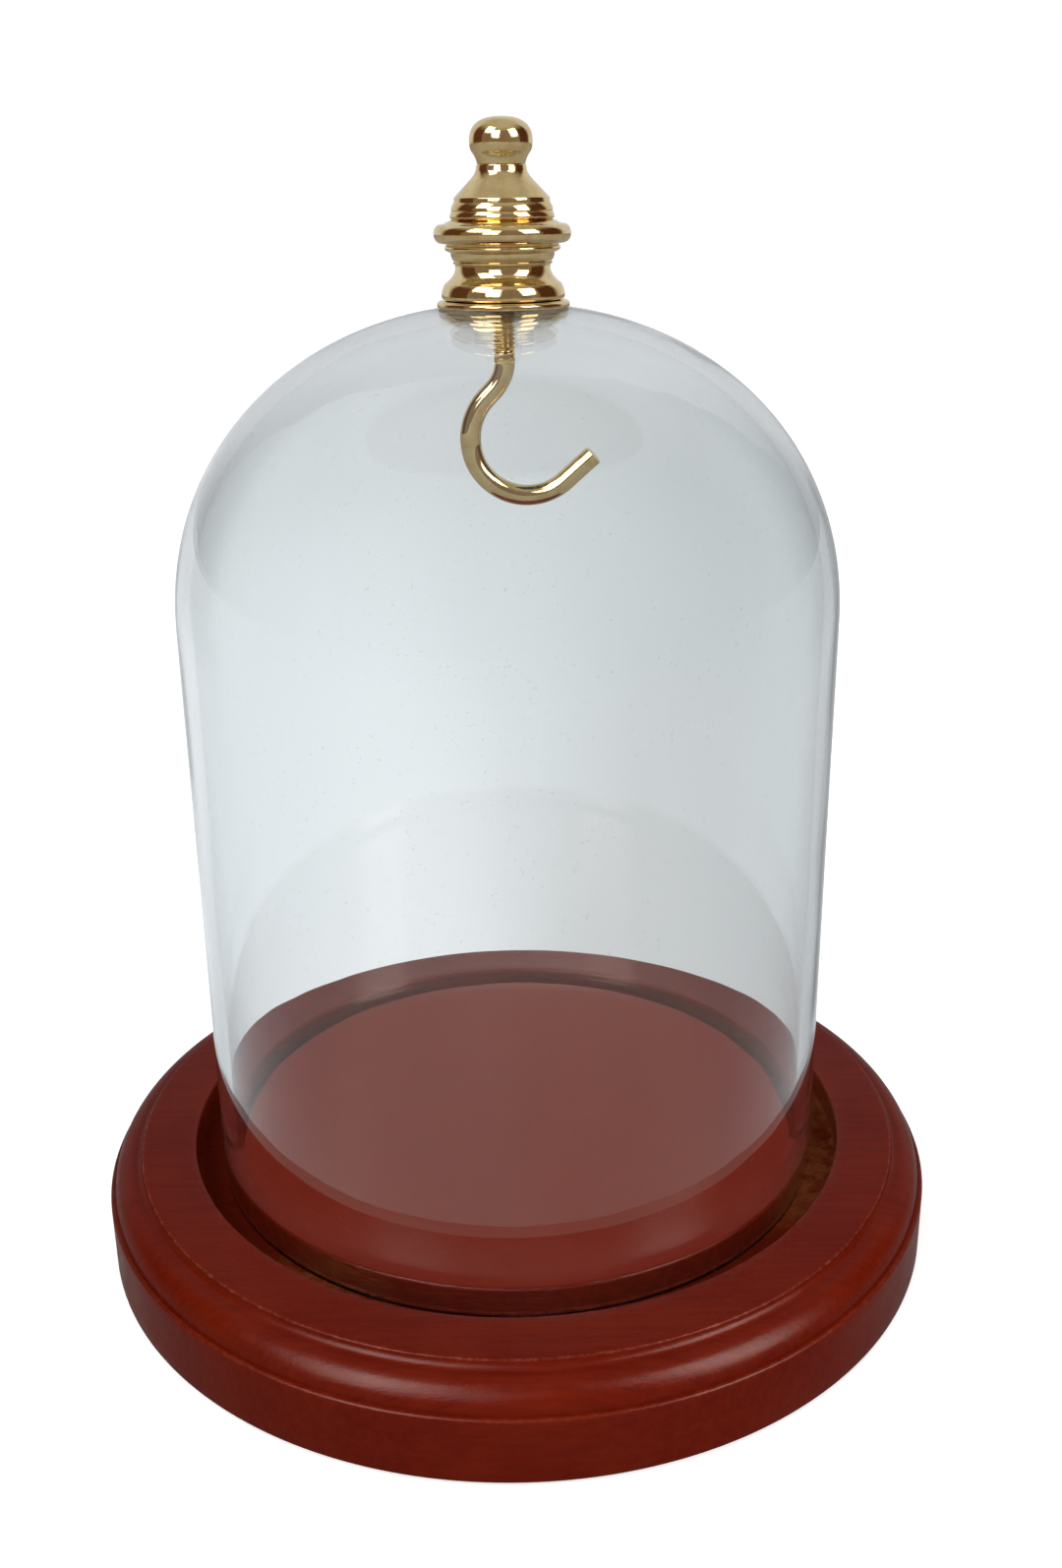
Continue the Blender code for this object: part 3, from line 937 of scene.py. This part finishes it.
def add_floor():
    """A plain pale floor, brightest to the eye and duller to the wood and brass.

    What shows of it in and through the glass is a backdrop instead, whose colour
    changes with the direction from the object.
    """
    made, nodes, shader, output = new_material("pale_floor")
    shader.inputs["Base Color"].default_value = (0.80, 0.80, 0.80, 1)
    shader.inputs["Roughness"].default_value = 0.9
    shader.inputs["Specular IOR Level"].default_value = 0
    ray = nodes.add("LightPath")
    eye = ray.outputs["Is Camera Ray"]
    mirrored = ray.outputs["Is Singular Ray"]
    _, x, y, _, radius = object_place(nodes)
    reflected = ray.outputs["Is Reflection Ray"]
    front = nodes.math("MULTIPLY", nodes.ramp(y, 40, -60), reflected)
    sideways = nodes.math("DIVIDE", x, radius)
    behind_near, behind_far = (0.88, 0.92, 0.95), (0.76, 0.79, 0.81)
    behind_right = (0.46, 0.48, 0.49)
    front_near, front_far = (0.72, 0.61, 0.51), (0.38, 0.35, 0.32)
    backdrop = nodes.mix(nodes.ramp(radius, 60, 700), behind_near, behind_far)
    right_side = nodes.ramp(sideways, -0.20, 0.24, 0.0, 0.60)
    backdrop = nodes.mix(right_side, backdrop, behind_right)
    front_floor = nodes.mix(nodes.ramp(radius, 90, 800), front_near, front_far)
    backdrop = nodes.mix(front, backdrop, front_floor)
    beside = nodes.ramp(nodes.math("ABSOLUTE", sideways), 0.70, 0.97, 0.0, 0.5)
    side_colour = nodes.mix(reflected, SEEN_THROUGH_SIDE, GLASS_SIDE)
    backdrop = nodes.mix(beside, backdrop, side_colour)
    paper = nodes.add("Emission")
    nodes.put(paper.inputs["Color"], backdrop)
    shader.inputs["Emission Color"].default_value = (1, 1, 1, 1)
    nodes.put(shader.inputs["Emission Strength"], nodes.math("MULTIPLY", eye, FLOOR_GLOW))
    dull = nodes.math(
        "ADD",
        nodes.math("MULTIPLY", ray.outputs["Is Glossy Ray"], 0.50),
        nodes.math("MULTIPLY", ray.outputs["Is Diffuse Ray"], 0.40),
    )
    black = nodes.add("BsdfDiffuse")
    black.inputs["Color"].default_value = (0, 0, 0, 1)
    duller = nodes.add("MixShader")
    nodes.put(duller.inputs[0], dull)
    nodes.put(duller.inputs[1], shader.outputs[0])
    nodes.put(duller.inputs[2], black.outputs[0])
    mixed = nodes.add("MixShader")
    nodes.put(mixed.inputs[0], mirrored)
    nodes.put(mixed.inputs[1], duller.outputs[0])
    nodes.put(mixed.inputs[2], paper.outputs[0])
    nodes.put(output.inputs["Surface"], mixed.outputs[0])
    mesh = bmesh.new()
    bmesh.ops.create_circle(mesh, cap_ends=True, segments=96, radius=mm(FLOOR_RADIUS))
    data = bpy.data.meshes.new("floor")
    mesh.to_mesh(data)
    mesh.free()
    data.materials.append(made)
    floor = bpy.data.objects.new("floor", data)
    bpy.context.scene.collection.objects.link(floor)


def add_window(name, azimuth, elevation, wide, high, radiance, lit, tint=(1, 1, 1)):
    """A soft lamp, with angles in degrees as seen from the object.

    Azimuth runs from -Y towards +X, and wide and high are its angular size. lit is the
    light-linking collection that says which pieces it reaches.
    """
    turn, rise = math.radians(azimuth), math.radians(elevation)
    towards = Vector(
        (math.sin(turn) * math.cos(rise), -math.cos(turn) * math.cos(rise), math.sin(rise))
    )
    data = bpy.data.lights.new(name, "AREA")
    data.shape = "RECTANGLE"
    data.size = 2 * WINDOW_DISTANCE * math.tan(math.radians(wide / 2))
    data.size_y = 2 * WINDOW_DISTANCE * math.tan(math.radians(high / 2))
    data.energy = radiance * math.pi * data.size * data.size_y
    data.color = tint
    lamp = bpy.data.objects.new(name, data)
    lamp.location = towards * WINDOW_DISTANCE + Vector((0, 0, mm(60)))
    lamp.rotation_euler = towards.to_track_quat("Z", "Y").to_euler()
    lamp.light_linking.receiver_collection = lit
    bpy.context.scene.collection.objects.link(lamp)


def add_room():
    """The light from a pale room: bright behind the object, dim at its sides and front.

    The camera sees plain white, and what shows through the glass is bright all round.
    """
    world = bpy.data.worlds.new("room")
    world.use_nodes = True
    bpy.context.scene.world = world
    nodes = Nodes(world.node_tree)
    split = nodes.add("SeparateXYZ")
    nodes.put(split.inputs[0], nodes.add("TexCoord").outputs["Generated"])
    x, y, z = split.outputs
    azimuth = nodes.math("ARCTAN2", x, nodes.math("MULTIPLY", y, -1.0))
    off = nodes.math("ABSOLUTE", azimuth)
    front = (0.25, 0.20, 0.17)
    left = (0.11, 0.050, 0.026)
    right = (0.09, 0.036, 0.017)
    back = (0.68, 0.70, 0.72)
    ceiling = (0.50, 0.49, 0.45)
    colour = nodes.mix(nodes.ramp(azimuth, 1.22, 1.30), front, right)
    colour = nodes.mix(nodes.ramp(azimuth, -1.22, -1.30), colour, left)
    colour = nodes.mix(nodes.ramp(off, 1.95, 2.25), colour, back)
    ray = nodes.add("LightPath")
    through = ray.outputs["Is Transmission Ray"]
    colour = nodes.mix(through, colour, back)
    colour = nodes.mix(nodes.ramp(z, 0.55, 0.95), colour, ceiling)
    side = nodes.math("MULTIPLY", nodes.ramp(off, 0.9, 1.5), nodes.ramp(off, 2.75, 2.35))
    side = nodes.math("MULTIPLY", side, ray.outputs["Is Singular Ray"])
    side_colour = nodes.mix(through, GLASS_SIDE, SEEN_THROUGH_SIDE)
    colour = nodes.mix(nodes.math("MULTIPLY", side, nodes.ramp(z, 0.9, 0.6)), colour, side_colour)
    colour = nodes.mix(ray.outputs["Is Camera Ray"], colour, (1.0, 1.0, 1.0))
    background = nodes.add("Background")
    nodes.put(background.inputs["Color"], colour)
    output = nodes.add("OutputWorld")
    nodes.put(output.inputs["Surface"], background.outputs[0])


def add_lights(glass_bell, wood_base):
    """Window panes for all but the glass, and warmer panes that light only the wood.

    The panes on the wood make the two highlights along its rounded step. The two gaps
    behind it are weak and narrow, and put a faint sheen on the flat top.
    """
    lit = bpy.data.collections.new("all_but_glass")
    lit.objects.link(glass_bell)
    lit.collection_objects[0].light_linking.link_state = "EXCLUDE"
    wooden = bpy.data.collections.new("only_wood")
    wooden.objects.link(wood_base)
    panes = {
        "left_window_far_pane": (-52, 46, 25, 32),
        "left_window_near_pane": (-20, 28, 25, 32),
        "right_window": (51, 32, 26, 34),
    }
    for name, (azimuth, elevation, wide, high) in panes.items():
        add_window(name, azimuth, elevation, wide, high, WINDOW_RADIANCE, lit)
    on_wood = {
        "left_window_on_wood": (-41, 34, 20, 48, WOOD_WINDOW_RADIANCE),
        "right_window_on_wood": (58, 30, 22, 48, WOOD_WINDOW_RADIANCE),
        "left_gap_behind": (183.5, 20, 1.6, 30, BACK_GAP_RADIANCE),
        "right_gap_behind": (177.2, 20, 3.6, 30, BACK_GAP_RADIANCE),
    }
    for name, (azimuth, elevation, wide, high, radiance) in on_wood.items():
        add_window(name, azimuth, elevation, wide, high, radiance, wooden, WARM)


# Build ---------------------------------------------------------------------


def main():
    add_camera()
    bpy.context.scene.view_settings.view_transform = "Standard"
    wood = wood_material()
    glass = glass_material()
    turned_brass = brass_material("turned_brass", (0.3, 0.3, 9.0))
    drawn_brass = brass_material("drawn_brass", (1.2, 6.0, 1.2))
    plastic = plastic_material()
    felt = felt_material()

    wood_base = lathe(
        "wood_base", base_outline(), 384, wood, "base", "base_turning", "stained_wood", rough_groove
    )
    felt_disc(felt)
    glass_bell = lathe(
        "glass_bell", glass_outline(), 256, glass, "dome", "glass_dome", "clear_glass", blown
    )
    lathe(
        "clear_gasket", outer_gasket_outline(), 128, plastic, "dome", "outer_gasket",
        "clear_plastic",
    )
    lathe(
        "inner_washer", inner_gasket_outline(), 96, plastic, "dome", "inner_gasket",
        "clear_plastic",
    )
    lathe(
        "turned_knob", knob_outline(), 160, turned_brass, "knob_and_hook", "finial_knob",
        "polished_brass",
    )
    lathe(
        "brass_seat", seat_outline(), 160, turned_brass, "knob_and_hook", "seat_washer",
        "polished_brass",
    )
    plastic_nut(plastic)
    wire_hook(drawn_brass)

    add_floor()
    add_room()
    add_lights(glass_bell, wood_base)


main()
